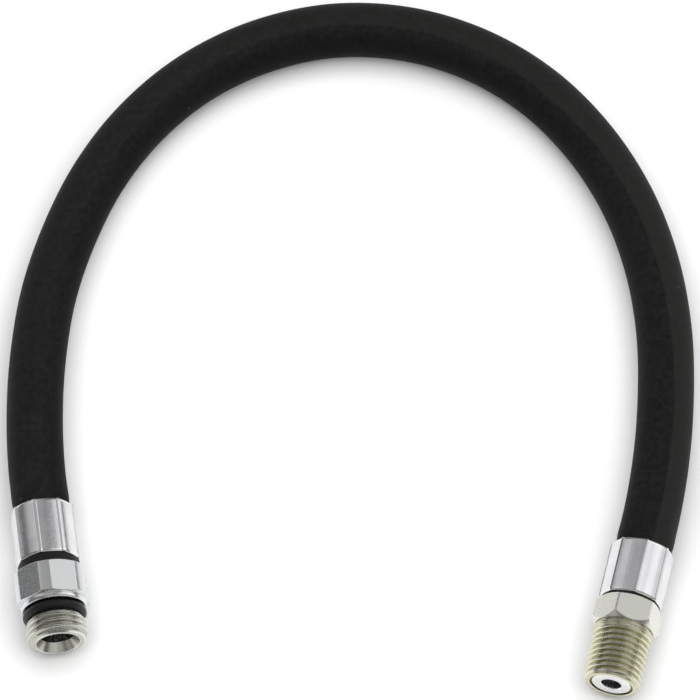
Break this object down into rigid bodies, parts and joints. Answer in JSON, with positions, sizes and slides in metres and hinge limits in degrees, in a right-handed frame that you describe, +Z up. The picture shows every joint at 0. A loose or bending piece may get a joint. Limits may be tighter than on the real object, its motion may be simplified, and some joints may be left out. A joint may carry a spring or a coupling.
{
  "type": "hydraulic hose assembly",
  "caption": "Short rubber hydraulic hose, bent in an arch, with a crimped ferrule and a swivelling male threaded fitting on each end.",
  "frame": {"origin": "on the surface that the hose lies on, midway between the two end fittings", "axes": "+X from the left fitting to the right one, +Z up from the surface, +Y towards the top of the hose's arch; the fittings point towards -Y"},
  "size_m": [0.1634, 0.1859, 0.0174],
  "materials": {
    "hose_rubber": "matt fabric-wrapped rubber",
    "tube_rubber": "smooth matt rubber",
    "braid_wire": "plated steel wire",
    "ferrule_zinc": "bright zinc plate",
    "stem_steel": "bright zinc plate",
    "blue_zinc": "clear blue zinc plate",
    "yellow_zinc": "yellow passivated zinc plate",
    "seal_rubber": "satin nitrile rubber",
    "black_ring": "matt black nylon",
    "white_ptfe": "matt PTFE"
  },
  "bodies": {
    "hose": {"hose_cover": "hose_rubber", "wire_braid": "braid_wire", "inner_tube": "tube_rubber", "left_ferrule": "ferrule_zinc", "left_stem": "stem_steel", "left_dust_ring": "black_ring", "right_ferrule": "ferrule_zinc", "right_stem": "stem_steel", "right_thrust_washer": "black_ring"},
    "left_swivel": {"left_stud": "blue_zinc", "left_port_o_ring": "seal_rubber", "left_swivel_o_ring": "seal_rubber", "left_backup_ring": "white_ptfe", "left_retaining_wire": "braid_wire"},
    "right_swivel": {"right_body": "yellow_zinc", "right_swivel_o_ring": "seal_rubber", "right_backup_ring": "white_ptfe"}
  },
  "joints": [
    {"name": "left_swivel_turn", "type": "hinge", "parent": "hose", "child": "left_swivel", "pos_m": [-0.06782, 0.00119, 0.0086], "axis": [0.1333, -0.9911, 0], "continuous": true},
    {"name": "right_swivel_turn", "type": "hinge", "parent": "hose", "child": "right_swivel", "pos_m": [0.06633, -0.00601, 0.0083], "axis": [-0.2316, -0.9728, 0], "continuous": true}
  ]
}
